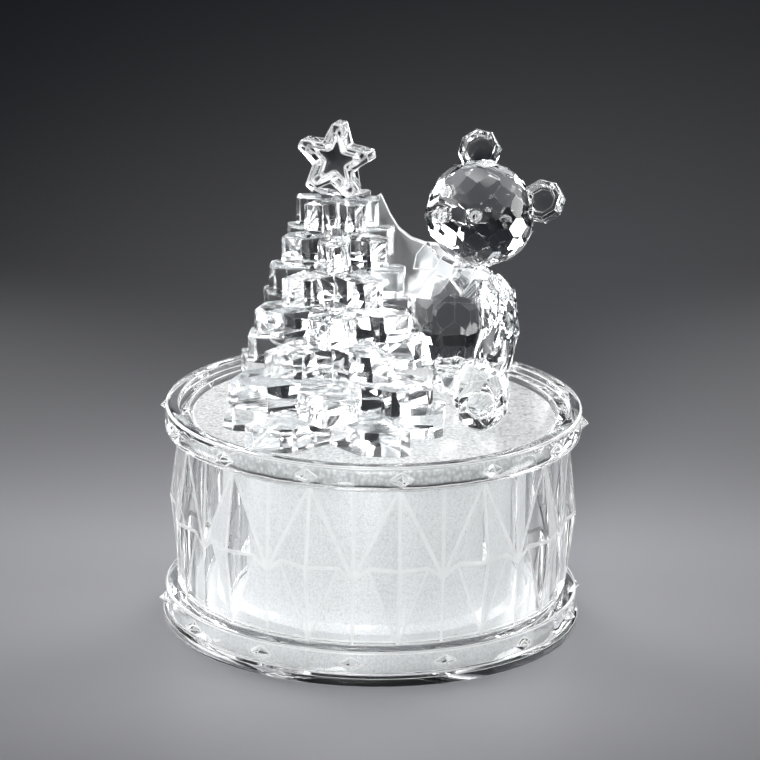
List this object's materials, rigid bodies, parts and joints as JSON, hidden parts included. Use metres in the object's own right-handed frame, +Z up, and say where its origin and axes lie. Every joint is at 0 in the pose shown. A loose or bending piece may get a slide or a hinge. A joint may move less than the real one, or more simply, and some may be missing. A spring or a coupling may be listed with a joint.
{
  "type": "revolving acrylic music box",
  "caption": "Clear faceted toy-drum music box with a revolving deck carrying a layered Christmas tree and a seated teddy bear, wound by a key underneath.",
  "frame": {"origin": "centre of the round base plate, on the resting plane", "axes": "+Z up along the deck's turning axis, -Y towards the front of the object, +X to its right as seen from the front"},
  "size_m": [0.102, 0.1018, 0.1241],
  "materials": {
    "clear_crystal": "polished clear moulded acrylic with flat diamond facets",
    "eye_clear": "polished clear moulded acrylic, small ringed domes",
    "frosted_plastic": "translucent frosted acrylic with a fine stippled face",
    "white_plastic": "plain moulded white plastic",
    "brass": "turned brass, fine machining marks",
    "steel": "ground steel",
    "key_steel": "nickel plated, rubbed at the edges",
    "cast_frame": "die-cast grey zinc frame, matt"
  },
  "bodies": {
    "base": {"drum_wall": "clear_crystal", "top_rim": "clear_crystal", "bottom_rim": "clear_crystal", "base_plate": "clear_crystal", "movement_cover": "frosted_plastic", "bedplate": "cast_frame", "bedplate_screw_1": "steel", "bedplate_screw_2": "steel", "bedplate_screw_3": "steel", "click_spring": "steel", "inner_bearing": "cast_frame", "outer_bearing": "cast_frame", "governor_bearing": "cast_frame", "comb": "steel", "comb_block": "cast_frame", "comb_screw_1": "steel", "comb_screw_2": "steel"},
    "turntable": {"turntable_deck": "frosted_plastic", "drive_hub": "white_plastic", "output_spindle": "steel", "spring_barrel": "brass", "mainspring": "steel", "tree_rod": "clear_crystal", "tree_tier_1": "clear_crystal", "tree_tier_2": "clear_crystal", "tree_tier_3": "clear_crystal", "tree_tier_4": "clear_crystal", "tree_tier_5": "clear_crystal", "tree_tier_6": "clear_crystal", "tree_tier_7": "clear_crystal", "tree_star": "clear_crystal", "bear_head": "clear_crystal", "bear_eye_right": "eye_clear", "bear_eye_left": "eye_clear", "bear_nose": "eye_clear", "bear_ear_right": "clear_crystal", "bear_ear_left": "clear_crystal", "bear_torso": "clear_crystal", "bear_bow_tie": "clear_crystal", "bear_far_arm": "clear_crystal", "bear_near_arm": "clear_crystal", "bear_near_leg": "clear_crystal", "near_foot_pad": "clear_crystal", "bear_far_leg": "clear_crystal", "far_foot_pad": "clear_crystal"},
    "cylinder": {"cylinder_arbor": "steel", "cylinder_pinion": "brass", "great_wheel": "brass", "music_cylinder": "brass"},
    "governor": {"fly_pinion": "steel", "governor_fly": "brass"},
    "winding": {"winding_arbor": "steel", "ratchet_wheel": "steel", "winding_key": "key_steel"}
  },
  "joints": [
    {"name": "turntable_spin", "type": "hinge", "parent": "base", "child": "turntable", "pos_m": [0, 0, 0], "axis": [0, 0, 1], "continuous": true},
    {"name": "cylinder_spin", "type": "hinge", "parent": "base", "child": "cylinder", "pos_m": [0, 0, 0.02918], "axis": [1, 0, 0], "continuous": true},
    {"name": "governor_spin", "type": "hinge", "parent": "base", "child": "governor", "pos_m": [0, 0.0136, 0.02918], "axis": [1, 0, 0], "continuous": true},
    {"name": "key_wind", "type": "hinge", "parent": "base", "child": "winding", "pos_m": [0, 0, 0], "axis": [0, 0, -1], "range_deg": [0, 1260]}
  ],
  "couplings": [
    {"joint": "cylinder_spin", "follows": "turntable_spin", "ratio": 3},
    {"joint": "governor_spin", "follows": "turntable_spin", "ratio": -12}
  ]
}
